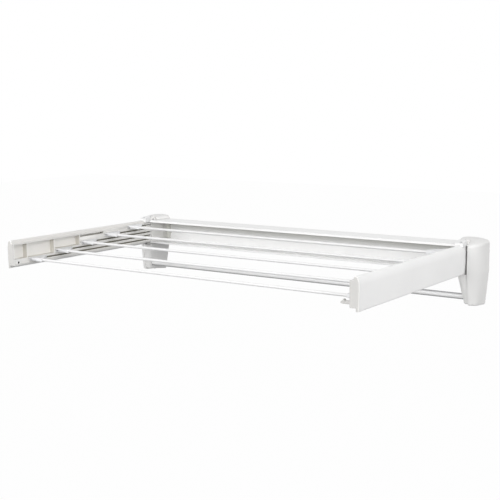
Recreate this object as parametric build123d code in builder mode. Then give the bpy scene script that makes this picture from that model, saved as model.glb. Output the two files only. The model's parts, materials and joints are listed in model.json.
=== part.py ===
"""Wall mounted fold down drying rack: two hinged arms, five sliding rods, a back rail and a towel rail.

X runs along the wall, +Y into the wall, +Z up, in millimetres. The wall is the plane Y = 0 and the
origin is the centre of the four wall screw holes. Distances named "reach" or "out" are measured from
the wall towards the room, and distances named "drop" are measured down from the arms' top face.
"""

import os
from math import cos, radians, sin, tan

from build123d import *

# Wall fixing
screw_side = 11.0
screw_span_z = 100.0
screw_hole_d = 5.5
arm_top = 62.0

# Arms: extruded channels, open towards the middle of the rack
arm_span = 940.0
arm_width = 20.0
arm_reach = 558.0
arm_rear_out = 60.0
arm_skin = 1.8
crown_in = 8.0
crown_r = 5.0
crown_lean = 60.0
ridge_r = 4.0
ledge_width = 7.5
ledge_drop = 8.0
skirt_drop = 66.5
skirt_tuck = 1.6
channel_drop = 60.0
lip_drop = 11.2
toe_lip = 3.2

# Front caps, the latch peg on the right one and the socket in the left one
cap_thick = 4.0
cap_drop = 60.0
cap_rim = 6.5
cap_edge_r = 2.5
tenon_length = 22.0
tenon_height = 12.0
latch_drop = 54.0
latch_hole_d = 5.4
latch_inset = 14.0
latch_reach = 28.0
latch_thick = 6.0
latch_width = 7.0
latch_barb = 3.4

# Drying rods and the tracks they run in
rod_count = 5
rod_d = 6.5
first_rod_out = 146.0
front_rod_in = 58.0
first_rod_drop = 10.5
rod_step = 9.8
rod_rear_out = 114.0
groove_offset = 2.2
groove_height = 5.4
groove_depth = 8.6
mouth_height = 3.6
mouth_depth = 2.0
stop_rib = 3.0
rear_stop = 2.0
pocket_depth = 14.0
slot_height = 5.5
ledge_thick = 4.0
track_fit = 0.3

# Rod carriers
carrier_front = 10.0
carrier_rear = 43.0
carrier_height = 9.0
carrier_out = 36.0
carrier_nose = 5.0
carrier_plate = 5.0
carrier_round = 1.5
carrier_slope = 2.6
carrier_edge = 1.5
shoe_inset = 3.0
socket_depth = 26.0
slide_gap = 0.3
lip_gap = 0.6

# Hinge: a horizontal pin at the arm's top rear corner
pin_d = 8.0
pin_out = 50.0
pin_drop = 0.0
pin_gap = 0.05
bush_wall = 2.0
knuckle_r = 9.5
cheek_thick = 3.5
cheek_gap = 0.5
head_length = 21.0
head_nose = 4.0
head_side = 2.0
saddle_drop = 6.0
end_plate = 2.4
stop_gap = 0.3
seat_gap = 0.02

# Wall bracket: base plate inside a tapered cover
plate_thick = 5.0
plate_width = 38.0
plate_above = 0.0
plate_drop = 136.0
web_thick = 6.0
web_top_drop = 13.0
web_bottom_drop = 68.0
shelf_drop = 68.0
shelf_thick = 2.5
cover_wall = 2.2
cover_step = 2.0
cover_rise = 10.0
dome_r = 150.0
dome_out = 8.0
cover_drop = 144.0
foot_tilt = 5.0
cover_taper_drop = 64.0
cover_crown_r = 8.0
foot_edge_r = 4.0
cover_side_out = 30.0
cover_front_out = 69.0
cover_round = 40.0
cover_inner_round = 13.0
cover_inner_in = 5.0
cover_flare = 13.0
foot_side_in = 7.5
foot_front_in = 13.0
foot_round = 18.0
foot_inner_in = 14.0
window_side = 4.0
window_out = 40.0
window_drop = 68.0
slit_drop = 3.0

# Back rail: channel open towards the room
rail_drop = 1.0
rail_height = 62.0
rail_reach = 65.3
rail_wall = 2.0
rail_lip = 5.0
rail_gap = 0.4
tab_thick = 3.8
tab_height = 24.0
tab_drop = 35.0
tab_reach = 26.0
tab_plate_width = 22.0
tab_plate_height = 46.0
tab_rib_count = 3
tab_rib_thick = 1.6
tab_rib_proud = 2.6

# Towel rail
towel_d = 14.0
towel_wall = 1.2
towel_out = 42.0
towel_drop = 122.0
towel_seat = 15.0
boss_wall = 2.0
boss_in = 14.0
boss_end = 2.0

# Small screws
fix_d = 3.2
fix_head_d = 6.4
fix_head_h = 1.8
fix_gap = 0.1
lug_size = 10.0
lug_height = 9.0

# Derived places, right-hand side
arm_out = arm_span / 2
arm_in = arm_out - arm_width
arm_front = -arm_reach + cap_thick
arm_rear = -arm_rear_out
rod_pitch = (arm_reach - front_rod_in - first_rod_out) / (rod_count - 1)
rod_ys = [-first_rod_out - i * rod_pitch for i in range(rod_count)]
rod_zs = [arm_top - first_rod_drop - i * rod_step for i in range(rod_count)]
groove_zs = [z - groove_offset for z in rod_zs]
track_in = arm_in + arm_skin + track_fit
pin_y = -pin_out
pin_z = arm_top - pin_drop
bush_r = pin_d / 2 + pin_gap + bush_wall
inner_cheek = (arm_in - stop_gap, arm_in - stop_gap + cheek_thick)
outer_cheek = (arm_out - head_side - cheek_thick, arm_out - head_side)
knuckle = (inner_cheek[1] + cheek_gap, outer_cheek[0] - cheek_gap)
plate_rear = arm_rear + end_plate
stop_face = plate_rear + stop_gap
rail_half = inner_cheek[0]
rail_top = arm_top - rail_drop
towel_z = arm_top - towel_drop
cover_out = arm_out + cover_side_out
screw_x = arm_out + screw_side
latch_y = arm_front + latch_inset
latch_z = arm_top - latch_drop
carrier_mouth = arm_in - lip_gap
carrier_in = carrier_mouth - carrier_out
fix_r = fix_d / 2

os.makedirs("parts", exist_ok=True)


def block(x, y, z, mode=Mode.ADD):
    """Box between the given limits along each axis."""
    middle = tuple((a + b) / 2 for a, b in (x, y, z))
    size = [abs(b - a) for a, b in (x, y, z)]
    with Locations(middle):
        Box(*size, mode=mode)


def bar(x, y, z, r, mode=Mode.ADD):
    """Round bar along X between two X values."""
    with Locations(Plane(((x[0] + x[1]) / 2, y, z), x_dir=(0, 1, 0), z_dir=(1, 0, 0))):
        Cylinder(r, abs(x[1] - x[0]), mode=mode)


def post(x, y, z, r, mode=Mode.ADD):
    """Round post along Z between two Z values."""
    with Locations((x, y, (z[0] + z[1]) / 2)):
        Cylinder(r, abs(z[1] - z[0]), mode=mode)


def save(piece, name):
    """Label a finished piece and write its file."""
    piece.label = name
    export_step(piece, f"parts/{name}.step")


def save_pair(right, name):
    """Write a right-hand piece and its mirror image."""
    with BuildPart() as left:
        mirror(right.part, about=Plane.YZ)
    save(right.part, f"right_{name}")
    save(left.part, f"left_{name}")


def arm_outline():
    """Outside of the arm's section in the XZ plane: low inner ledge, round ridge, gently tucked skirt."""
    ridge_in = arm_in + ledge_width
    crown_start = (arm_out - crown_in, arm_top)
    lean = radians(crown_lean)
    crown_bend = (crown_start[0] + crown_r * sin(lean), arm_top - crown_r * (1 - cos(lean)))
    side_r = (arm_out - crown_bend[0]) / (1 - sin(lean))
    crown_end = (arm_out, crown_bend[1] - side_r * cos(lean))
    skirt = (arm_out - skirt_tuck, arm_top - skirt_drop)
    with BuildLine() as outline:
        Polyline((arm_in, arm_top - ledge_drop), (ridge_in, arm_top - ledge_drop), (ridge_in, arm_top - ridge_r))
        TangentArc((ridge_in, arm_top - ridge_r), (ridge_in + ridge_r, arm_top), tangent=(0, 1))
        Line((ridge_in + ridge_r, arm_top), crown_start)
        TangentArc(crown_start, crown_bend, tangent=(1, 0))
        TangentArc(crown_bend, crown_end, tangent=(cos(lean), -sin(lean)))
        TangentArc(crown_end, skirt, tangent=(0, -1))
        Polyline(skirt, (arm_in, arm_top - skirt_drop), (arm_in, arm_top - ledge_drop))
    make_face(outline.edges())


def cover_outline(foot, inset):
    """Plan of the bracket cover: flared inner side, round corners and a broad round outer side."""
    x_out = cover_out - (foot_side_in if foot else 0) - inset
    y_front = -(cover_front_out - (foot_front_in if foot else 0) - inset)
    r_out = (foot_round if foot else cover_round) - inset
    r_in = cover_inner_round - inset
    x_in = arm_in - cover_inner_in + (foot_inner_in if foot else 0) + inset
    bend = (x_in + r_in, y_front + r_in)
    bend_mid = (bend[0] - r_in * cos(radians(45)), bend[1] - r_in * sin(radians(45)))
    with BuildLine() as outline:
        Line((x_in - cover_flare, 0), (x_in, bend[1]))
        ThreePointArc((x_in, bend[1]), bend_mid, (bend[0], y_front))
        Line((bend[0], y_front), (x_out - r_out, y_front))
        TangentArc((x_out - r_out, y_front), (x_out, y_front + r_out), tangent=(1, 0))
        Polyline((x_out, y_front + r_out), (x_out, 0), (x_in - cover_flare, 0))
    make_face(outline.edges())


def cover_form(inset, top_wall, edge_r=0):
    """Tapered lower part and domed upper part of the bracket cover, drawn in by a wall."""
    waist = arm_top - cover_taper_drop
    dome_z = arm_top + cover_rise - dome_r
    with BuildPart() as form:
        with BuildSketch(Plane.XY.offset(waist)):
            cover_outline(False, inset)
        extrude(amount=cover_taper_drop + cover_rise)
        with Locations(((arm_in + arm_out) / 2, -dome_out, dome_z)):
            Sphere(dome_r - top_wall, mode=Mode.INTERSECT)
        with BuildSketch(Plane.XY.offset(arm_top - cover_drop + inset).rotated((-foot_tilt, 0, 0))):
            cover_outline(True, inset)
        with BuildSketch(Plane.XY.offset(waist)):
            cover_outline(False, inset)
        loft()
        if edge_r:
            foot_edges = form.faces().sort_by(Axis.Z)[0].edges().sort_by(Axis.Y)[:-1]
            fillet(foot_edges, edge_r)
    return form.part


# Arm extrusion
with BuildPart() as arm:
    with BuildSketch(Plane.XZ.offset(arm_rear_out)) as section:
        arm_outline()
        offset(amount=-arm_skin, kind=Kind.INTERSECTION, mode=Mode.SUBTRACT)
        mouth_height_z = channel_drop - lip_drop - toe_lip
        with Locations((arm_in, arm_top - lip_drop - mouth_height_z / 2)):
            Rectangle(2 * arm_skin + 1, mouth_height_z, mode=Mode.SUBTRACT)
        under = skirt_drop - channel_drop
        with Locations((arm_in - 1, arm_top - channel_drop)):
            Rectangle(
                arm_width - arm_skin - skirt_tuck + 1,
                under + 1,
                align=(Align.MIN, Align.MAX),
                mode=Mode.SUBTRACT,
            )
        with Locations((arm_in, arm_top - channel_drop)):
            Rectangle(arm_width - arm_skin, arm_skin, align=(Align.MIN, Align.MIN))
    extrude(amount=-arm_front - arm_rear_out)
    head_screw_x = arm_out - crown_in
    head_screw_y = arm_rear - head_length * 0.6
    post(head_screw_x, head_screw_y, (arm_top - 3 * arm_skin, arm_top + 1), fix_r + fix_gap, Mode.SUBTRACT)
save_pair(arm, "arm")

# Track insert: five grooves with a front stop each, and open bays in front of the stops
track_front = arm_front + track_fit
shoe_rear = carrier_rear - shoe_inset
groove_rear = -rod_rear_out + shoe_rear + slide_gap
with BuildPart() as track:
    with BuildSketch(Plane.XZ.offset(arm_rear_out)) as core:
        arm_outline()
        offset(amount=-arm_skin - track_fit, kind=Kind.INTERSECTION, mode=Mode.REPLACE)
        with Locations((arm_in, arm_top - channel_drop + arm_skin + track_fit)):
            Rectangle(4 * arm_width, 2 * skirt_drop, align=(Align.CENTER, Align.MAX), mode=Mode.SUBTRACT)
    extrude(amount=-track_front - arm_rear_out)
    for y, z in zip(rod_ys, groove_zs):
        stop = y - carrier_front + shoe_inset - slide_gap
        lane = (stop, groove_rear)
        tail = (groove_rear + rear_stop, arm_rear + 1)
        deep = (track_in + mouth_depth, track_in + mouth_depth + groove_depth)
        for run in (lane, tail):
            block(deep, run, (z - groove_height / 2, z + groove_height / 2), Mode.SUBTRACT)
        mouth = (track_in - 1, track_in + mouth_depth + 1)
        block(mouth, (stop, arm_rear + 1), (z - mouth_height / 2, z + mouth_height / 2), Mode.SUBTRACT)
    bay_top = arm_top - lip_drop + track_fit
    bay_floors = [z + groove_height / 2 + ledge_thick for z in groove_zs]
    for near in range(1, rod_count - 1):
        floor = bay_top - slot_height if near == 1 else bay_floors[near + 1]
        bay = (rod_ys[near + 1] - carrier_front, rod_ys[near] - carrier_front - stop_rib)
        block((track_in - 1, track_in + pocket_depth), bay, (floor, arm_top), Mode.SUBTRACT)
    front_bay = (track_front - 1, rod_ys[-1] - carrier_front - stop_rib)
    tenon_room = (track_front - 1, arm_front + tenon_length + track_fit)
    for run, floor in ((front_bay, bay_floors[-1]), (tenon_room, arm_top - skirt_drop)):
        block((track_in - 1, track_in + pocket_depth), run, (floor, arm_top), Mode.SUBTRACT)
save_pair(track, "track")

# Front cap with a rounded outer rim, a tenon in the channel and a latch hole
with BuildPart() as cap:
    with BuildSketch(Plane.XZ.offset(-arm_front)) as face:
        arm_outline()
        with Locations((arm_out - cap_rim, arm_top - cap_drop)):
            Rectangle(arm_width, skirt_drop, align=(Align.MAX, Align.MAX), mode=Mode.SUBTRACT)
    extrude(amount=cap_thick)
    front_edges = cap.faces().sort_by(Axis.Y)[0].edges()
    fillet(front_edges.filter_by(GeomType.CIRCLE), cap_edge_r)
    tenon_floor = arm_top - channel_drop + arm_skin + track_fit
    block(
        (track_in, arm_out - skirt_tuck - 2 * arm_skin),
        (arm_front, arm_front + tenon_length),
        (tenon_floor, tenon_floor + tenon_height),
    )
    bar((track_in - 1, arm_out - skirt_tuck - 3 * arm_skin), latch_y, latch_z, latch_hole_d / 2, Mode.SUBTRACT)
save_pair(cap, "front_cap")

# Latch peg on the right cap: a round root and a barbed tongue
with BuildPart() as tongue:
    bar((arm_in - latch_thick, arm_out - skirt_tuck - 4 * arm_skin), latch_y, latch_z, latch_hole_d / 2 - pin_gap)
    with BuildSketch(Plane.XZ.offset(-latch_y - latch_width / 2)):
        with BuildLine():
            tip = arm_in - latch_reach
            low = latch_z - latch_thick / 2
            high = latch_z + latch_thick / 2
            Polyline(
                (arm_in - lip_gap, low),
                (arm_in - lip_gap, high),
                (tip + 3 * latch_barb, high),
                (tip + 2 * latch_barb, high + latch_barb),
                (tip, low + latch_thick / 3),
                (tip + latch_barb, low),
                (arm_in - lip_gap, low),
            )
        make_face()
    extrude(amount=latch_width)
save(tongue.part, "latch_tongue")

# Hinge head: a wedge on the arm's rear end, an end plate and the knuckle around the pin
with BuildPart() as head:
    with BuildSketch(Plane.YZ.offset(arm_in + slide_gap)):
        with BuildLine():
            Polyline(
                (arm_rear - head_length, arm_top),
                (arm_rear - head_length, arm_top + head_nose),
                (arm_rear, pin_z + knuckle_r),
                (arm_rear, arm_top),
                (arm_rear - head_length, arm_top),
            )
        make_face()
    extrude(amount=arm_width - 2 * slide_gap)
    block(
        (arm_in + slide_gap, arm_out - slide_gap),
        (arm_rear - head_length, arm_rear),
        (arm_top - saddle_drop, arm_top),
    )
    with BuildSketch(Plane.XZ.offset(arm_rear_out)):
        arm_outline()
        offset(amount=seat_gap, kind=Kind.INTERSECTION, mode=Mode.REPLACE)
    extrude(amount=head_length, mode=Mode.SUBTRACT)
    channel_floor = arm_top - channel_drop + arm_skin
    block(
        (arm_in + head_side, arm_out - head_side - cheek_thick),
        (arm_rear, plate_rear),
        (channel_floor, pin_z + knuckle_r),
    )
    bar(knuckle, pin_y, pin_z, knuckle_r)
    block(knuckle, (arm_rear, pin_y), (pin_z - knuckle_r, pin_z + knuckle_r))
    inner_side = (arm_in, knuckle[0])
    outer_side = (knuckle[1], arm_out)
    for side in (inner_side, outer_side):
        block(side, (arm_rear + slide_gap, 0), (pin_z - 2 * knuckle_r, pin_z + 2 * knuckle_r), Mode.SUBTRACT)
    bar((arm_in, arm_out), pin_y, pin_z, bush_r + seat_gap, Mode.SUBTRACT)
    post(head_screw_x, head_screw_y, (arm_top - 1, arm_top + 2 * knuckle_r), fix_r + fix_gap, Mode.SUBTRACT)
    head_seat = arm_top + head_nose + (knuckle_r - head_nose) * (1 - 0.6) - fix_head_h
    post(head_screw_x, head_screw_y, (head_seat, arm_top + 2 * knuckle_r), fix_head_d / 2 + fix_gap, Mode.SUBTRACT)
save_pair(head, "hinge_head")

# Hinge bush and pin
with BuildPart() as bush:
    bar(knuckle, pin_y, pin_z, bush_r)
    bar((arm_in, arm_out), pin_y, pin_z, pin_d / 2 + pin_gap, Mode.SUBTRACT)
save_pair(bush, "hinge_bush")

with BuildPart() as pin:
    bar((inner_cheek[0], outer_cheek[1]), pin_y, pin_z, pin_d / 2)
save_pair(pin, "hinge_pin")

# Screws that hold the hinge heads to the arms
with BuildPart() as head_screws:
    for x in (head_screw_x, -head_screw_x):
        post(x, head_screw_y, (arm_top - arm_skin, head_seat), fix_r)
        post(x, head_screw_y, (head_seat, head_seat + fix_head_h), fix_head_d / 2)
save(head_screws.part, "head_screws")

# Bracket base: wall plate, hinge cheeks, stop web, shelf, towel rail boss and a lug for the cover screw
boss_r = towel_d / 2 + boss_wall
boss = (arm_in + boss_in, arm_in + boss_in + towel_seat)
towel_end = boss[1] - boss_end
lug_x = screw_x
lug_y = -plate_thick - lug_size / 2
lug_base = arm_top - plate_drop
with BuildPart() as base:
    plate = (arm_in - stop_gap, arm_in - stop_gap + plate_width)
    block(plate, (-plate_thick, 0), (arm_top - shelf_drop, arm_top + plate_above))
    block((boss[0], plate[1]), (-plate_thick, 0), (arm_top - plate_drop, arm_top - shelf_drop))
    for cheek in (inner_cheek, outer_cheek):
        block(cheek, (stop_face, -plate_thick), (arm_top - web_bottom_drop, pin_z - knuckle_r))
        block(cheek, (pin_y, -plate_thick), (pin_z - knuckle_r, pin_z))
        bar(cheek, pin_y, pin_z, knuckle_r - cheek_gap)
    bar((outer_cheek[1], arm_out + lip_gap - seat_gap), pin_y, pin_z, knuckle_r - cheek_gap)
    block(
        (inner_cheek[0], outer_cheek[1]),
        (stop_face, stop_face + web_thick),
        (arm_top - web_bottom_drop, arm_top - web_top_drop),
    )
    shelf = (arm_top - shelf_drop - shelf_thick, arm_top - shelf_drop)
    block((boss[0], outer_cheek[1]), (stop_face, 0), shelf)
    block((boss[0], outer_cheek[1]), (-plate_thick - web_thick, 0), (shelf[0], arm_top - web_bottom_drop))
    bar(boss, -towel_out, towel_z, boss_r)
    block(boss, (-towel_out, 0), (towel_z - boss_r / 2, towel_z + boss_r / 2))
    bar((boss[0] - 1, towel_end), -towel_out, towel_z, towel_d / 2 + seat_gap, Mode.SUBTRACT)
    bar((arm_in - 1, arm_out), pin_y, pin_z, pin_d / 2 + seat_gap, Mode.SUBTRACT)
    block(
        (lug_x - lug_size / 2, lug_x + lug_size / 2),
        (lug_y - lug_size / 2, 0),
        (lug_base, lug_base + lug_height),
    )
    post(lug_x, lug_y, (lug_base - 1, lug_base + lug_height - 1), fix_r + fix_gap, Mode.SUBTRACT)
    for z in (-screw_span_z / 2, screw_span_z / 2):
        with Locations(Plane((screw_x, 0, z), x_dir=(1, 0, 0), z_dir=(0, 1, 0))):
            Cylinder(screw_hole_d / 2, 3 * plate_thick, mode=Mode.SUBTRACT)
save_pair(base, "bracket_base")

# Bracket cover: hollow shell whose outer shield stands a step proud of the lower body, with openings for
# the arm, the back rail and the towel rail
shield_in = arm_out + window_side
cover_foot = arm_top - cover_drop - (lug_y - fix_head_d / 2) * tan(radians(foot_tilt))
with BuildPart() as lower_trim:
    block(
        (arm_in - 2 * cover_flare - cover_inner_in, shield_in),
        (-2 * cover_front_out, 1),
        (arm_top - 2 * cover_drop, arm_top - window_drop),
    )
    add(cover_form(cover_step, cover_step, foot_edge_r), mode=Mode.SUBTRACT)
with BuildPart() as hood_front:
    add(cover_form(cover_wall, cover_wall))
    block(
        (0, shield_in),
        (-window_out, -window_out + cover_wall),
        (pin_z + cheek_gap, arm_top + cover_rise),
        Mode.INTERSECT,
    )
with BuildPart() as cover:
    add(cover_form(0, 0, foot_edge_r))
    crown = cover.faces().sort_by(Axis.Z)[-1].edges().sort_by(Axis.Y)[:-1]
    fillet(crown, cover_crown_r)
    add(lower_trim.part, mode=Mode.SUBTRACT)
    add(cover_form(cover_step + cover_wall, cover_step + cover_wall), mode=Mode.SUBTRACT)
    add(hood_front.part)
    slit_top = arm_top - slit_drop
    for x_out, z in (
        (shield_in, (arm_top - window_drop, slit_top)),
        (arm_out + lip_gap, (slit_top, arm_top + 2 * cover_rise)),
    ):
        block(
            (arm_in - cover_inner_in - cover_flare, x_out),
            (-2 * cover_front_out, -window_out),
            z,
            Mode.SUBTRACT,
        )
    block(
        (0, rail_half + lip_gap),
        (-rail_reach - rail_gap, plate_thick),
        (rail_top - rail_height - rail_gap, rail_top + rail_gap),
        Mode.SUBTRACT,
    )
    bar((0, boss[0]), -towel_out, towel_z, towel_d / 2 + rail_gap, Mode.SUBTRACT)
    post(lug_x, lug_y, (arm_top - 2 * cover_drop, lug_base), fix_r + fix_gap, Mode.SUBTRACT)
    post(lug_x, lug_y, (arm_top - 2 * cover_drop, cover_foot), fix_head_d / 2 + fix_gap, Mode.SUBTRACT)
save_pair(cover, "bracket_cover")

# Screws that hold the covers from below
with BuildPart() as cover_screws:
    for x in (lug_x, -lug_x):
        post(x, lug_y, (cover_foot, lug_base + lug_height - 2), fix_r)
        post(x, lug_y, (cover_foot - fix_head_h, cover_foot), fix_head_d / 2)
save(cover_screws.part, "cover_screws")

# Back rail
tab_z = arm_top - tab_drop
tab_screw_x = rail_half - tab_reach + tab_height / 2
with BuildPart() as rail:
    with BuildSketch(Plane.YZ.offset(-rail_half)):
        with Locations((-rail_reach, rail_top - rail_height)):
            Rectangle(rail_reach, rail_height, align=(Align.MIN, Align.MIN))
        with Locations((-rail_reach + rail_wall, rail_top - rail_height + rail_wall)):
            Rectangle(
                rail_reach - 2 * rail_wall,
                rail_height - 2 * rail_wall,
                align=(Align.MIN, Align.MIN),
                mode=Mode.SUBTRACT,
            )
        with Locations((-rail_reach, rail_top - rail_height / 2)):
            Rectangle(3 * rail_wall, rail_height - 2 * rail_lip, mode=Mode.SUBTRACT)
    extrude(amount=2 * rail_half)
    for x in (tab_screw_x, -tab_screw_x):
        with Locations(Plane((x, 0, tab_z), x_dir=(1, 0, 0), z_dir=(0, 1, 0))):
            Cylinder(fix_r + fix_gap, 3 * rail_wall, mode=Mode.SUBTRACT)
save(rail.part, "back_rail")

# Tabs that carry the rail's ends, with a round inner end
with BuildPart() as tab:
    with BuildSketch(Plane.XZ.offset(rail_wall)):
        with Locations((tab_screw_x, tab_z)):
            Circle(tab_height / 2)
            Rectangle(rail_half - tab_screw_x, tab_height, align=(Align.MIN, Align.CENTER))
        with Locations((rail_half, rail_top - rail_height / 2)):
            Rectangle(tab_plate_width, tab_plate_height, align=(Align.MAX, Align.CENTER))
    extrude(amount=tab_thick)
    rib_room = rail_half - tab_screw_x - fix_head_d / 2 - slide_gap
    rib_pitch = (rib_room - tab_rib_thick) / (tab_rib_count - 1)
    for k in range(tab_rib_count):
        rib = rail_half - k * rib_pitch
        block(
            (rib - tab_rib_thick, rib),
            (-rail_wall - tab_thick - tab_rib_proud, -rail_wall),
            (rail_top - rail_height / 2 - tab_plate_height / 2, rail_top - rail_height / 2 + tab_plate_height / 2),
        )
    with Locations(Plane((tab_screw_x, 0, tab_z), x_dir=(1, 0, 0), z_dir=(0, 1, 0))):
        Cylinder(fix_r + fix_gap, 4 * tab_thick, mode=Mode.SUBTRACT)
save_pair(tab, "rail_tab")

with BuildPart() as tab_screws:
    tab_face = -rail_wall - tab_thick
    for x in (tab_screw_x, -tab_screw_x):
        with Locations(Plane((x, tab_face / 2, tab_z), x_dir=(1, 0, 0), z_dir=(0, 1, 0))):
            Cylinder(fix_r, -tab_face)
        with Locations(Plane((x, tab_face - fix_head_h / 2, tab_z), x_dir=(1, 0, 0), z_dir=(0, 1, 0))):
            Cylinder(fix_head_d / 2, fix_head_h)
save(tab_screws.part, "tab_screws")

# Towel rail
with BuildPart() as towel:
    bar((-towel_end, towel_end), -towel_out, towel_z, towel_d / 2)
    bar((-towel_end, towel_end), -towel_out, towel_z, towel_d / 2 - towel_wall, Mode.SUBTRACT)
save(towel.part, "towel_rail")

# Drying rods, each with a carrier at both ends
for number, (y, z, groove_z) in enumerate(zip(rod_ys, rod_zs, groove_zs), 1):
    with BuildPart() as rod:
        bar((-carrier_in - socket_depth, carrier_in + socket_depth), y, z, rod_d / 2)
    save(rod.part, f"drying_rod_{number}")

    with BuildPart() as carrier:
        with BuildSketch(Plane.XY.offset(z - carrier_height / 2)):
            with BuildLine():
                Polyline(
                    (carrier_mouth, y - carrier_front),
                    (carrier_mouth - carrier_plate, y - carrier_front),
                    (carrier_in, y - carrier_nose),
                    (carrier_in, y + carrier_nose),
                    (carrier_mouth - carrier_plate, y + carrier_rear),
                    (carrier_mouth, y + carrier_rear),
                    (carrier_mouth, y - carrier_front),
                )
            make_face()
        extrude(amount=carrier_height)
        fillet(carrier.faces().sort_by(Axis.X)[0].edges(), carrier_round)
        with BuildSketch(Plane.XZ.offset(-y + carrier_slope)):
            with BuildLine():
                Polyline(
                    (carrier_mouth + 1, z - carrier_height),
                    (carrier_in, z - carrier_height / 2),
                    (carrier_mouth + 1, z + carrier_height / 2 - carrier_edge),
                    (carrier_mouth + 1, z - carrier_height),
                )
            make_face()
        extrude(amount=carrier_front, mode=Mode.SUBTRACT)
        lane = (y - carrier_front + shoe_inset, y + carrier_rear - shoe_inset)
        neck = mouth_height / 2 - slide_gap
        shoe = groove_height / 2 - slide_gap
        shoe_x = track_in + mouth_depth + slide_gap
        block((carrier_mouth - 1, shoe_x + 1), lane, (groove_z - neck, groove_z + neck))
        block((shoe_x, shoe_x + groove_depth - 2 * slide_gap), lane, (groove_z - shoe, groove_z + shoe))
        bar((carrier_in - 1, carrier_in + socket_depth), y, z, rod_d / 2 + seat_gap, Mode.SUBTRACT)
    save_pair(carrier, f"carrier_{number}")
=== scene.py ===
# %% [markdown]
# # A white wall rack with two hinged arms and five sliding rods
#
# The rack's solids come from a CAD model, so this lesson doesn't model the arms or the brackets again.
# It loads them as a fixed frame, sets up a studio around them, and gives every piece a finish built from
# shader nodes. A few small pieces are added where a plain solid isn't enough, such as the screws.

# %% Load the frame
import json
import math

import bpy
from mathutils import Matrix, Vector


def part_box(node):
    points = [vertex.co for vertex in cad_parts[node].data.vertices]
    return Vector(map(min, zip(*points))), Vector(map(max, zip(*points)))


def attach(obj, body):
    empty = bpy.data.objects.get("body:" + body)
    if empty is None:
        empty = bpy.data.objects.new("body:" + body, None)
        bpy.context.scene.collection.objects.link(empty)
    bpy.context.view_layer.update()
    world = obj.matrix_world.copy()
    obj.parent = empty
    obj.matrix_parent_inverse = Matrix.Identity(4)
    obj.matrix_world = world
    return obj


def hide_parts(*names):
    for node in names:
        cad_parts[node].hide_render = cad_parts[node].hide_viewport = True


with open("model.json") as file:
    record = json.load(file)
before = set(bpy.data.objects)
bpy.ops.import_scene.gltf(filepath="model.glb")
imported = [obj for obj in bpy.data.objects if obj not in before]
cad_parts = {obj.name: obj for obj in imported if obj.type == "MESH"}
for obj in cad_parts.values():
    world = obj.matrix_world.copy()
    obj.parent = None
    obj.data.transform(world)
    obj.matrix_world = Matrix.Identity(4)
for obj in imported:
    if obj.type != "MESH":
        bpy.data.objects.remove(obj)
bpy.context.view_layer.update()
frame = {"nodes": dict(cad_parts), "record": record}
nodes = frame["nodes"]
scene = bpy.context.scene
scene.view_settings.view_transform = "Standard"
MM = 0.001

# %% [markdown]
# ## Camera
#
# The photo was taken from the front right, a little above the arms. The place, the turn and the focal
# length were found by matching the straight edges of the arms, the rods and the rail. A camera can also
# be aimed with a Track To constraint, but a plain rotation matrix lets us add the small roll as well.

# %% Place the camera
ARM_TOP = 62 * MM
CAMERA_PLACE = Vector((1346.7 * MM, -2168.8 * MM, 318.8 * MM + ARM_TOP))
CAMERA_YAW = math.radians(34.8)
CAMERA_PITCH = math.radians(8.35)
CAMERA_ROLL = math.radians(-0.44)
FOCAL_PIXELS = 1010.9
PICTURE_PIXELS = 500
SENSOR_WIDTH = 36

camera_data = bpy.data.cameras.new("camera")
camera_data.sensor_width = SENSOR_WIDTH
camera_data.lens = FOCAL_PIXELS / PICTURE_PIXELS * SENSOR_WIDTH
camera = bpy.data.objects.new("camera", camera_data)
scene.collection.objects.link(camera)
camera_turn = (
    Matrix.Rotation(CAMERA_YAW, 4, "Z")
    @ Matrix.Rotation(math.radians(90) - CAMERA_PITCH, 4, "X")
    @ Matrix.Rotation(CAMERA_ROLL, 4, "Z")
)
camera.matrix_world = Matrix.Translation(CAMERA_PLACE) @ camera_turn
scene.camera = camera
print("camera lens:", round(camera_data.lens, 2), "mm")

# %% [markdown]
# ## World and floor
#
# A white object on white needs soft light with a direction, or its faces run together. The world gives a
# fill that is stronger at the sides than overhead, as in a studio with white walls. It could be one
# strength for everything, but then a white background would also flood the rack with light. So a Light
# Path node makes it plain white only for camera, mirror and see-through rays. The floor lies well below,
# because the rack hangs on a wall, and it uses the same switch: pale to the camera, and a darker grey that
# throws little light back up, so that the rods and the towel rail keep a dark lower edge.

# %% Build the world
FILL_SIDE = 1.12
FILL_TOP = 0.40


def calc(tree, operation, first, second=0.0):
    """Math node on two sockets or numbers."""
    node = tree.nodes.new("ShaderNodeMath")
    node.operation = operation
    for place, value in enumerate((first, second)):
        if isinstance(value, (int, float)):
            node.inputs[place].default_value = value
        else:
            tree.links.new(value, node.inputs[place])
    return node.outputs[0]


def background_rays(tree):
    """1 for camera, glossy and transmission rays, and 0 for the rays that light the rack."""
    rays = tree.nodes.new("ShaderNodeLightPath").outputs
    seen = calc(tree, "MAXIMUM", rays["Is Camera Ray"], rays["Is Glossy Ray"])
    return calc(tree, "MAXIMUM", seen, rays["Is Transmission Ray"])


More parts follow.
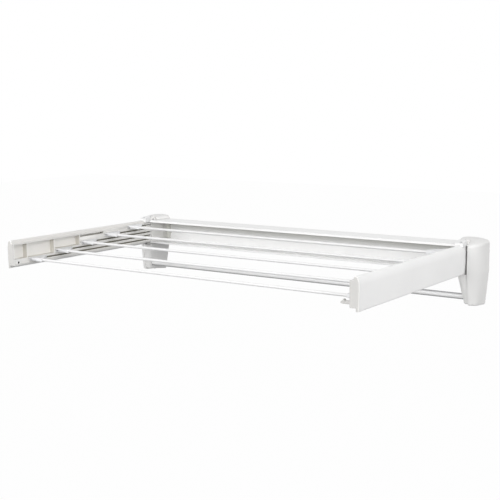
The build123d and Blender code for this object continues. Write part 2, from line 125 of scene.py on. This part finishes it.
world = bpy.data.worlds.new("studio")
scene.world = world
world.use_nodes = True
tree = world.node_tree
background = tree.nodes["Background"]
background.inputs["Color"].default_value = (1.0, 1.0, 1.0, 1.0)
height = tree.nodes.new("ShaderNodeSeparateXYZ")
tree.links.new(tree.nodes.new("ShaderNodeTexCoord").outputs["Generated"], height.inputs[0])
fill = tree.nodes.new("ShaderNodeMapRange")
fill.inputs["To Min"].default_value = FILL_SIDE
fill.inputs["To Max"].default_value = FILL_TOP
tree.links.new(height.outputs["Z"], fill.inputs["Value"])
strength = tree.nodes.new("ShaderNodeMapRange")
strength.inputs["To Max"].default_value = 1.0
tree.links.new(fill.outputs["Result"], strength.inputs["To Min"])
tree.links.new(background_rays(tree), strength.inputs["Value"])
tree.links.new(strength.outputs["Result"], background.inputs["Strength"])
print("world fill:", FILL_SIDE, "to", FILL_TOP)

# %% Lay the floor
FLOOR_LEVEL = -1.15
FLOOR_HALF = 14.0
FLOOR_GREY = 0.18
FLOOR_ROUGHNESS = 0.9
FLOOR_SHARE = 0.92
FLOOR_GLOW = 1.06

floor_mesh = bpy.data.meshes.new("floor")
signs = [(-1, -1), (1, -1), (1, 1), (-1, 1)]
corners = [(x * FLOOR_HALF, y * FLOOR_HALF, FLOOR_LEVEL) for x, y in signs]
floor_mesh.from_pydata(corners, [], [(0, 1, 2, 3)])
floor = bpy.data.objects.new("floor", floor_mesh)
scene.collection.objects.link(floor)
floor_paint = bpy.data.materials.new("pale_floor")
floor_paint.use_nodes = True
tree = floor_paint.node_tree
matte = tree.nodes["Principled BSDF"]
matte.inputs["Base Color"].default_value = (FLOOR_GREY, FLOOR_GREY, FLOOR_GREY, 1.0)
matte.inputs["Roughness"].default_value = FLOOR_ROUGHNESS
glow = tree.nodes.new("ShaderNodeEmission")
glow.inputs["Color"].default_value = (1.0, 1.0, 1.0, 1.0)
glow.inputs["Strength"].default_value = FLOOR_GLOW
blend = tree.nodes.new("ShaderNodeMixShader")
tree.links.new(calc(tree, "MULTIPLY", background_rays(tree), FLOOR_SHARE), blend.inputs[0])
tree.links.new(matte.outputs[0], blend.inputs[1])
tree.links.new(glow.outputs[0], blend.inputs[2])
tree.links.new(blend.outputs[0], tree.nodes["Material Output"].inputs["Surface"])
floor_mesh.materials.append(floor_paint)
print("floor at", FLOOR_LEVEL, "m")

# %% [markdown]
# ## Lamps
#
# The photo's rail is bright inside with a dark band under its upper lip, so the main light comes from the
# front and only a little from above. It stands to the left, which lights the inner sides of the right
# bracket. A weaker lamp fills in from the middle. The arms' outer faces are nearly as bright as the rail,
# so a third lamp stands on the right. It is wide and far off, so that both brackets get nearly as much of
# its light. Sun lamps would give harder edges; squares of 1.6 m to 3 m keep every shadow soft.

# %% Place the lamps
def soft_lamp(name, place, target, size, watts):
    """Square area lamp that faces a point."""
    data = bpy.data.lights.new(name, "AREA")
    data.size = size
    data.energy = watts
    lamp = bpy.data.objects.new(name, data)
    scene.collection.objects.link(lamp)
    lamp.location = place
    lamp.rotation_euler = (Vector(target) - Vector(place)).to_track_quat("-Z", "Y").to_euler()


RACK_MIDDLE = (0.0, -0.2, 0.0)
ARM_MIDDLE = (0.0, -0.25, 0.0)
soft_lamp("front_lamp", (0.5, -3.3, 0.95), RACK_MIDDLE, size=1.6, watts=16)
soft_lamp("front_left_lamp", (-0.9, -3.2, 1.1), RACK_MIDDLE, size=1.6, watts=44)
soft_lamp("right_lamp", (4.6, -2.0, 1.3), ARM_MIDDLE, size=3.0, watts=86)

# %% [markdown]
# ## Finishes
#
# Every finish here is close to white, so the difference lies in the surface. A powder coat has a fine
# orange peel, moulded plastic has a faint grain and a slightly uneven sheen, enamel on the rods is smooth.
# Each finish is one Principled shader. A slow noise shifts the colour a little, a second noise varies the
# roughness, and a fine noise drives the bump. The pattern can be stretched along one axis, as the die
# lines on an extrusion are. All of them read Object coordinates, which stay with the piece when it moves.
# The Bevel node rounds the shading at sharp edges, so that moulded edges catch the light.

# %% Make a coated or moulded finish
def noise(tree, coordinates, scale, detail):
    """Noise texture on the given coordinates."""
    texture = tree.nodes.new("ShaderNodeTexNoise")
    texture.inputs["Scale"].default_value = scale
    texture.inputs["Detail"].default_value = detail
    tree.links.new(coordinates, texture.inputs["Vector"])
    return texture.outputs["Fac"]


DRIFT_SCALE, DRIFT_DETAIL = 7.0, 3.0
DRIFT_FROM, DRIFT_TO = 0.35, 0.65
SHEEN_SCALE, SHEEN_DETAIL = 42.0, 4.0
BUMP_STRENGTH, BUMP_DETAIL = 0.35, 2.0
BEVEL_SAMPLES = 4
EVEN = (1, 1, 1)


def surface_finish(name, pale, shade, roughness, grain, depth, edge, stretch=EVEN, metallic=0.0):
    """Finish with a slow colour drift, an uneven sheen, a fine bump and softened edges."""
    material = bpy.data.materials.new(name)
    material.use_nodes = True
    tree = material.node_tree
    shader = tree.nodes["Principled BSDF"]
    shader.inputs["Metallic"].default_value = metallic
    place = tree.nodes.new("ShaderNodeTexCoord").outputs["Object"]
    drift = tree.nodes.new("ShaderNodeValToRGB")
    drift.color_ramp.elements[0].position = DRIFT_FROM
    drift.color_ramp.elements[0].color = (*shade, 1.0)
    drift.color_ramp.elements[1].position = DRIFT_TO
    drift.color_ramp.elements[1].color = (*pale, 1.0)
    tree.links.new(noise(tree, place, DRIFT_SCALE, DRIFT_DETAIL), drift.inputs["Fac"])
    tree.links.new(drift.outputs["Color"], shader.inputs["Base Color"])
    sheen = tree.nodes.new("ShaderNodeMapRange")
    sheen.inputs["To Min"].default_value = roughness[0]
    sheen.inputs["To Max"].default_value = roughness[1]
    tree.links.new(noise(tree, place, SHEEN_SCALE, SHEEN_DETAIL), sheen.inputs["Value"])
    tree.links.new(sheen.outputs["Result"], shader.inputs["Roughness"])
    run = tree.nodes.new("ShaderNodeMapping")
    run.inputs["Scale"].default_value = stretch
    tree.links.new(place, run.inputs["Vector"])
    bump = tree.nodes.new("ShaderNodeBump")
    bump.inputs["Strength"].default_value = BUMP_STRENGTH
    bump.inputs["Distance"].default_value = depth
    tree.links.new(noise(tree, run.outputs["Vector"], grain, BUMP_DETAIL), bump.inputs["Height"])
    soft_edge = tree.nodes.new("ShaderNodeBevel")
    soft_edge.samples = BEVEL_SAMPLES
    soft_edge.inputs["Radius"].default_value = edge
    tree.links.new(soft_edge.outputs["Normal"], bump.inputs["Normal"])
    tree.links.new(bump.outputs["Normal"], shader.inputs["Normal"])
    return material


def greys(level, warmth=0.0, drop=0.03):
    """A pale tone and a slightly darker one, both leaning to yellow by the warmth."""
    return [(g, g - warmth / 3, g - warmth) for g in (level, level - drop)]


# %% [markdown]
# The rail and the arms are aluminium under white powder coat, with die lines along the extrusion. The rods
# and the towel rail are steel under smooth enamel. A factor below 1 stretches the pattern along that axis,
# and one above 1 squeezes it, as on the pins, which are ground around.

# %% Finish the metal pieces
DIE_LINES_X = (0.15, 1, 1)
DIE_LINES_Y = (1, 0.15, 1)
DRAWN_X = (0.3, 1, 1)
GROUND_X = (4, 1, 1)
COAT = {"grain": 900, "depth": 6e-5, "edge": 4e-4}
ENAMEL = {"grain": 240, "depth": 3e-5, "edge": 2e-4, "stretch": DRAWN_X}
STEEL = {"depth": 3e-5, "edge": 2e-4, "metallic": 1.0}
finishes = {
    "arm_coat": surface_finish(
        "arm_powder_coat", *greys(0.90, 0.004), (0.36, 0.46), stretch=DIE_LINES_Y, **COAT
    ),
    "rail_coat": surface_finish(
        "rail_powder_coat", *greys(0.91, 0.004), (0.34, 0.44), stretch=DIE_LINES_X, **COAT
    ),
    "rod_coat": surface_finish("rod_enamel", *greys(0.78, drop=0.02), (0.30, 0.40), **ENAMEL),
    "towel_coat": surface_finish("towel_rail_enamel", *greys(0.80, drop=0.02), (0.16, 0.24), **ENAMEL),
    "pin_steel": surface_finish(
        "pin_ground_steel", *greys(0.62, drop=0.06), (0.22, 0.34), grain=1500, stretch=GROUND_X, **STEEL
    ),
    "screw_steel": surface_finish(
        "screw_zinc_plate", *greys(0.66, -0.02, 0.06), (0.26, 0.38), grain=1200, **STEEL
    ),
}
print("metal finishes:", len(finishes))

# %% [markdown]
# The covers, caps, tracks and carriers are moulded. In the photo the covers and caps are a little greyer
# than the arms, the tracks are warm, and the carriers are the coolest white.

# %% Finish the moulded pieces
LANES_Y = (1, 0.3, 1)
finishes |= {
    "cover_plastic": surface_finish(
        "cover_moulding", *greys(0.77, 0.012), (0.42, 0.55), grain=650, depth=9e-5, edge=8e-4
    ),
    "base_plastic": surface_finish(
        "base_moulding", *greys(0.86, 0.024, 0.04), (0.55, 0.68), grain=500, depth=1e-4, edge=6e-4
    ),
    "cap_plastic": surface_finish(
        "cap_moulding", *greys(0.60, 0.022), (0.40, 0.52), grain=650, depth=8e-5, edge=8e-4
    ),
    "head_plastic": surface_finish(
        "head_moulding", *greys(0.80), (0.34, 0.46), grain=650, depth=7e-5, edge=1e-3
    ),
    "track_plastic": surface_finish(
        "track_moulding", *greys(0.88, 0.04), (0.50, 0.62), grain=480, depth=8e-5, edge=4e-4, stretch=LANES_Y
    ),
    "carrier_plastic": surface_finish(
        "carrier_moulding", *greys(0.79, -0.014), (0.34, 0.44), grain=650, depth=6e-5, edge=5e-4
    ),
    "bush_plastic": surface_finish(
        "bush_moulding", *greys(0.66, 0.04, 0.04), (0.40, 0.50), grain=500, depth=6e-5, edge=3e-4
    ),
}
print("finishes:", len(finishes))

# %% [markdown]
# ## Painted light and shade
#
# Some finishes get light and shade painted into their colour: painted shade in hollows, under lips and
# along edges, a painted reflection on the towel rail and a painted highlight on the caps' rims. A mask made
# from the Object coordinates picks the place, and a Mix node blends the painted tone in. An image could do
# this too, but a mask has no pixels, and it stays with the piece when it moves. Each mask is a function that
# gets a tree with its x, y and z sockets.

# %% Blend painted light and shade in by a mask
def ramp(tree, value, start, end):
    """0 up to the start and 1 from the end on, or the other way round if the end is lower."""
    node = tree.nodes.new("ShaderNodeMapRange")
    node.inputs["From Min"].default_value = start
    node.inputs["From Max"].default_value = end
    tree.links.new(value, node.inputs["Value"])
    return node.outputs["Result"]


def distance(tree, value, origin):
    """How far a coordinate is from a place, on either side."""
    return calc(tree, "ABSOLUTE", calc(tree, "SUBTRACT", value, origin))


def depth_behind(tree, x, face):
    """How far a place lies behind an inner face, on the left side or the right."""
    return calc(tree, "SUBTRACT", calc(tree, "ABSOLUTE", x), face)


def blend_painted_light(slot, mask, tone):
    """Blend painted light and shade, as a tone, into a finish where the mask is 1."""
    tree = finishes[slot].node_tree
    shader = tree.nodes["Principled BSDF"]
    plain = shader.inputs["Base Color"].links[0].from_socket
    axes = tree.nodes.new("ShaderNodeSeparateXYZ")
    tree.links.new(tree.nodes.new("ShaderNodeTexCoord").outputs["Object"], axes.inputs[0])
    blend = tree.nodes.new("ShaderNodeMixRGB")
    blend.inputs["Color2"].default_value = (*tone, 1.0)
    tree.links.new(mask(tree, *axes.outputs), blend.inputs["Fac"])
    tree.links.new(plain, blend.inputs["Color1"])
    tree.links.new(blend.outputs["Color"], shader.inputs["Base Color"])
    print("second tone:", slot, mask.__name__)


# %% [markdown]
# The towel rail has painted dark lines along its top and its bottom, a painted reflection and shade such as a
# polished tube shows in a white room. Its pale band lies a little above the tube's middle, so the lower line
# is the wider one. The back rail has painted shade under its upper lip, where little light gets in, and so
# have the rail tabs between their ribs.

# %% Paint reflection and shade on the rails and the rail tabs
TOWEL_PALE = -59.2 * MM
TOWEL_RADIUS = 7 * MM
TUBE_EDGE = (0.40 * TOWEL_RADIUS, 0.95 * TOWEL_RADIUS)
RAIL_FACE = -2 * MM
RAIL_SHADE = (30 * MM, 46 * MM)
FACE_ROOM = 1 * MM
RAIL_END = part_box("back_rail")[1][0]
TAB_RIB_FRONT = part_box("right_rail_tab")[0][1]


def painted_tube_reflection(tree, x, y, z):
    """The top and the bottom of the towel rail, where dark lines of reflection and shade are painted."""
    return ramp(tree, distance(tree, z, TOWEL_PALE), *TUBE_EDGE)


def painted_lip_shade(tree, x, y, z):
    """The upper part of the rail's back wall, on its inner side, where shade under the lip is painted."""
    on_face = calc(tree, "LESS_THAN", distance(tree, y, RAIL_FACE), FACE_ROOM)
    return calc(tree, "MULTIPLY", on_face, ramp(tree, z, *RAIL_SHADE))


def painted_tab_shade(tree, x, y, z):
    """The rail tabs between and beside their ribs, where shade is painted."""
    in_rail = calc(tree, "LESS_THAN", calc(tree, "ABSOLUTE", x), RAIL_END)
    return calc(tree, "MULTIPLY", in_rail, calc(tree, "GREATER_THAN", y, TAB_RIB_FRONT + FACE_ROOM))


# painted reflection and shade along the towel rail's top and bottom
blend_painted_light("towel_coat", painted_tube_reflection, (0.22, 0.22, 0.23))
# painted shade under the back rail's upper lip
blend_painted_light("rail_coat", painted_lip_shade, (0.63, 0.63, 0.60))
# painted shade on the rail tabs between their ribs
blend_painted_light("base_plastic", painted_tab_shade, (0.69, 0.69, 0.645))

# %% [markdown]
# The arms get painted shade on the inside and along the lower edge. The caps get a painted highlight on the
# rim around their greyer front, and painted shade darkens the latch hole.

# %% Paint shade on the arms and a highlight on the caps
ARM_INSIDE, _, ARM_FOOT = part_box("right_arm")[0]
TRACK_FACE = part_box("right_track")[0][0]
CAP_FRONT = -558 * MM
LATCH_Y = -540 * MM
LATCH_Z = 8 * MM
LATCH_RADIUS = 2.9 * MM
RIDGE_INSIDE = (12 * MM, 9 * MM)
FOOT_EDGE = (3.6 * MM, 0.6 * MM)
CAP_EDGE = (0.2 * MM, 0.9 * MM)
HOLE_EDGE = (0.2 * MM, 1.2 * MM)
SIDE_ROOM = 0.5 * MM


def painted_arm_inside_shade(tree, x, y, z):
    """The arm's inner lip, its ledge and the inner side of its ridge, where shade is painted."""
    return ramp(tree, depth_behind(tree, x, ARM_INSIDE), *RIDGE_INSIDE)


def painted_arm_foot_shade(tree, x, y, z):
    """The arm's lower edge, where shade is painted."""
    return ramp(tree, calc(tree, "SUBTRACT", z, ARM_FOOT), *FOOT_EDGE)


def painted_cap_rim_highlight(tree, x, y, z):
    """The cap's rounded edge and its tenon, where a highlight is painted, but not the tongue, which reaches
    out of the arm.
    """
    behind = ramp(tree, calc(tree, "SUBTRACT", y, CAP_FRONT), *CAP_EDGE)
    in_arm = calc(tree, "GREATER_THAN", calc(tree, "ABSOLUTE", x), ARM_INSIDE - SIDE_ROOM)
    return calc(tree, "MULTIPLY", behind, in_arm)


def painted_latch_hole_shade(tree, x, y, z):
    """The wall of the latch hole, by the distance from its axis, where dark shade is painted."""
    along = calc(tree, "SUBTRACT", y, LATCH_Y)
    up = calc(tree, "SUBTRACT", z, LATCH_Z)
    square = calc(tree, "ADD", calc(tree, "MULTIPLY", along, along), calc(tree, "MULTIPLY", up, up))
    near_axis = calc(tree, "LESS_THAN", square, LATCH_RADIUS**2)
    behind = ramp(tree, depth_behind(tree, x, TRACK_FACE), *HOLE_EDGE)
    return calc(tree, "MULTIPLY", near_axis, behind)


# painted shade on the arms' inner side
blend_painted_light("arm_coat", painted_arm_inside_shade, (0.745, 0.735, 0.715))
# painted shade along the arms' lower edge
blend_painted_light("arm_coat", painted_arm_foot_shade, (0.76, 0.76, 0.755))
# painted highlight on the caps' rims
blend_painted_light("cap_plastic", painted_cap_rim_highlight, (0.86, 0.855, 0.84))
# painted shade in the latch holes
blend_painted_light("cap_plastic", painted_latch_hole_shade, (0.06, 0.06, 0.055))

# %% [markdown]
# The tracks are pale on their inner face and on the back of the open bays, with painted shade in between.
# The grooves get the darkest painted shade. They rise from the front in equal steps, so a Floor node turns
# the place along the arm into a step, and the step gives the height of the upper groove there.

# %% Paint shade on the tracks
FACE_EDGE = (0.2 * MM, 0.8 * MM)
BAY_DEPTH = 14 * MM
BAY_BACK = (BAY_DEPTH - 0.1 * MM, BAY_DEPTH - 0.5 * MM)
FRONT_STOP = -510 * MM
STEP_RUN = 88.5 * MM
STEP_RISE = 9.8 * MM
FRONT_GROOVE_TOP = 12.9 * MM


def painted_bay_shade(tree, x, y, z):
    """Between the track's inner face and the back of its bays, where shade is painted."""
    depth = depth_behind(tree, x, TRACK_FACE)
    return calc(tree, "MULTIPLY", ramp(tree, depth, *FACE_EDGE), ramp(tree, depth, *BAY_BACK))


def painted_groove_shade(tree, x, y, z):
    """Behind the track's inner face and below the step line of the grooves' tops, where the darkest shade is
    painted.
    """
    step = calc(tree, "FLOOR", calc(tree, "DIVIDE", calc(tree, "SUBTRACT", y, FRONT_STOP), STEP_RUN))
    top = calc(tree, "ADD", calc(tree, "MULTIPLY", step, STEP_RISE), FRONT_GROOVE_TOP)
    behind = ramp(tree, depth_behind(tree, x, TRACK_FACE), *FACE_EDGE)
    return calc(tree, "MULTIPLY", behind, calc(tree, "LESS_THAN", z, top))


# painted shade on the bays' sides
blend_painted_light("track_plastic", painted_bay_shade, (0.69, 0.665, 0.61))
# painted shade in the grooves
blend_painted_light("track_plastic", painted_groove_shade, (0.42, 0.40, 0.33))

# %% [markdown]
# ## Dress the solids
#
# The record says which material slot each solid uses. The finish goes into the solid's own slots, so the
# meshes stay as they are.

# %% Give every solid its finish
slot_of = {row["node"]: row["material_slot"] for row in frame["record"]["subparts"]}
for name, node in nodes.items():
    for part in node.material_slots:
        part.material = finishes[slot_of[name]]
print("dressed:", len(slot_of), "solids")

# %% [markdown]
# ## Screws
#
# The small screws hold the rail tabs, the hinge heads and the covers. Their solids are plain cylinders. A
# real pan head is domed and has a cross recess. One could model each screw by hand, but they repeat, so a
# Geometry Nodes tree makes one screw from its sizes and puts it on points. The head is a cylinder cut by a
# sphere, the recess is a cross of two bars cut out of it, and the shank is joined below.
#
# The recess cut has a fault that is still open. The two bars cross, and the boolean's float solver fails on
# them: the head is lost, and an inside-out bar is left 0.7 mm above the shank. The exact solver gave the
# head with its recess in a separate try.

# %% Build the screw tree
def add_node(tree, kind, links=None, **values):
    """Node with its sockets set to values or linked to other sockets."""
    node = tree.nodes.new(kind)
    for key, value in values.items():
        if hasattr(node, key):
            setattr(node, key, value)
        else:
            node.inputs[key.replace("_", " ").title()].default_value = value
    for key, source in (links or {}).items():
        tree.links.new(source, node.inputs[key])
    return node


screw_tree = bpy.data.node_groups.new("cross_recess_screw", "GeometryNodeTree")
face = screw_tree.interface
face.new_socket("Geometry", in_out="INPUT", socket_type="NodeSocketGeometry")
SCREW_SIZES = {
    "Head Diameter": 0.0064,
    "Head Height": 0.0018,
    "Dome Radius": 0.0042,
    "Shank Diameter": 0.0032,
    "Shank Length": 0.006,
    "Recess Length": 0.0036,
    "Recess Width": 0.0008,
    "Recess Depth": 0.0011,
}
ROUND_STEPS = 32
DOME_SEGMENTS, DOME_RINGS = 48, 32
screw_socket = {}
for label, size in SCREW_SIZES.items():
    socket = face.new_socket(label, in_out="INPUT", socket_type="NodeSocketFloat")
    socket.default_value = size
    screw_socket[label] = socket.identifier
socket = face.new_socket("Material", in_out="INPUT", socket_type="NodeSocketMaterial")
screw_socket["Material"] = socket.identifier
face.new_socket("Geometry", in_out="OUTPUT", socket_type="NodeSocketGeometry")
print("screw inputs:", list(screw_socket))

# %% [markdown]
# Sizes enter the tree as numbers, so radii and heights are worked out with Math nodes. Each cutter is placed
# with a Transform node. The points carry a vector attribute called aim, and the screws turn to it.

# %% Wire the screw tree
given = screw_tree.nodes.new("NodeGroupInput").outputs


def vector(x=0.0, y=0.0, z=0.0):
    """Vector from three sockets or numbers."""
    node = screw_tree.nodes.new("ShaderNodeCombineXYZ")
    for place, value in enumerate((x, y, z)):
        if isinstance(value, (int, float)):
            node.inputs[place].default_value = value
        else:
            screw_tree.links.new(value, node.inputs[place])
    return node.outputs[0]


def shifted(mesh, offset):
    """Mesh moved by a vector socket."""
    return add_node(screw_tree, "GeometryNodeTransform", {"Geometry": mesh, "Translation": offset}).outputs[0]


def cylinder(diameter, height):
    """Cylinder around Z."""
    radius = calc(screw_tree, "MULTIPLY", diameter, 0.5)
    node = add_node(screw_tree, "GeometryNodeMeshCylinder", {"Radius": radius, "Depth": height})
    node.inputs["Vertices"].default_value = ROUND_STEPS
    return node.outputs["Mesh"]


def combine(operation, first, *others):
    """Boolean of meshes."""
    node = screw_tree.nodes.new("GeometryNodeMeshBoolean")
    node.operation = operation
    many = node.inputs["Mesh 2"]
    if operation == "DIFFERENCE":
        screw_tree.links.new(first, node.inputs["Mesh 1"])
    else:
        screw_tree.links.new(first, many)
    for other in others:
        screw_tree.links.new(other, many)
    return node.outputs["Mesh"]


half_head = calc(screw_tree, "MULTIPLY", given["Head Height"], 0.5)
blank = shifted(cylinder(given["Head Diameter"], given["Head Height"]), vector(z=half_head))
ball = add_node(
    screw_tree,
    "GeometryNodeMeshUVSphere",
    {"Radius": given["Dome Radius"]},
    segments=DOME_SEGMENTS,
    rings=DOME_RINGS,
).outputs["Mesh"]
dome = shifted(ball, vector(z=calc(screw_tree, "SUBTRACT", given["Head Height"], given["Dome Radius"])))
pan = combine("INTERSECT", blank, dome)
recess_depth = calc(screw_tree, "MULTIPLY", given["Recess Depth"], 2.0)
bars = []
for size in ("Recess Length", "Recess Width"):
    other = "Recess Width" if size == "Recess Length" else "Recess Length"
    box = add_node(
        screw_tree, "GeometryNodeMeshCube", {"Size": vector(given[size], given[other], recess_depth)}
    ).outputs["Mesh"]
    bars.append(shifted(box, vector(z=given["Head Height"])))
cut_head = combine("DIFFERENCE", pan, *bars)
shank_drop = calc(screw_tree, "MULTIPLY", given["Shank Length"], -0.5)
shank = shifted(cylinder(given["Shank Diameter"], given["Shank Length"]), vector(z=shank_drop))
screw = add_node(screw_tree, "GeometryNodeJoinGeometry", {"Geometry": cut_head})
screw_tree.links.new(shank, screw.inputs["Geometry"])
direction = add_node(screw_tree, "GeometryNodeInputNamedAttribute", data_type="FLOAT_VECTOR")
direction.inputs["Name"].default_value = "aim"
turn = add_node(
    screw_tree, "FunctionNodeAlignRotationToVector", {"Vector": direction.outputs["Attribute"]}, axis="Z"
)
placed = add_node(
    screw_tree,
    "GeometryNodeInstanceOnPoints",
    {"Points": given["Geometry"], "Instance": screw.outputs[0], "Rotation": turn.outputs[0]},
)
real = add_node(screw_tree, "GeometryNodeRealizeInstances", {"Geometry": placed.outputs[0]})
dressed = add_node(
    screw_tree, "GeometryNodeSetMaterial", {"Geometry": real.outputs[0], "Material": given["Material"]}
)
screw_tree.links.new(dressed.outputs[0], screw_tree.nodes.new("NodeGroupOutput").inputs[0])
print("screw tree nodes:", len(screw_tree.nodes))

# %% [markdown]
# Each screw solid is a pair, one on the left and one on the right. Its box gives the seat: the head's outer
# side is the box's end along the screw's axis. The tree's result is turned into a plain mesh, because the
# export doesn't keep instances, and the piece then stands for the plain solid.

# %% Put the screws in place
def fit_screws(node, body, outward):
    """Screws from the tree in place of a node that holds a left and a right screw."""
    low, high = (Vector(corner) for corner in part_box(node))
    aim = Vector(outward)
    middle = (low + high) / 2
    half = Vector(abs(high[k] - low[k]) / 2 * aim[k] for k in range(3))
    length = 2 * half.length
    seat = middle + half - aim * SCREW_SIZES["Head Height"]
    side = high.x - SCREW_SIZES["Head Diameter"] / 2
    mesh = bpy.data.meshes.new(node + "_places")
    mesh.from_pydata([(x, seat.y, seat.z) for x in (-side, side)], [], [])
    directions = mesh.attributes.new("aim", "FLOAT_VECTOR", "POINT")
    for place in directions.data:
        place.vector = aim
    source = bpy.data.objects.new(node + "_places", mesh)
    scene.collection.objects.link(source)
    grow = source.modifiers.new("screws", "NODES")
    grow.node_group = screw_tree
    grow[screw_socket["Shank Length"]] = length - SCREW_SIZES["Head Height"]
    grow[screw_socket["Material"]] = finishes["screw_steel"]
    bpy.context.view_layer.update()
    evaluated = source.evaluated_get(bpy.context.evaluated_depsgraph_get())
    piece = bpy.data.objects.new(node + "_cross_recess", bpy.data.meshes.new_from_object(evaluated))
    bpy.data.objects.remove(source)
    scene.collection.objects.link(piece)
    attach(piece, body)
    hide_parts(node)
    print(piece.name, "faces:", len(piece.data.polygons))


fit_screws("tab_screws", "wall_frame", (0, -1, 0))
fit_screws("cover_screws", "wall_frame", (0, 0, -1))
fit_screws("head_screws", "arm_frame", (0, 0, 1))
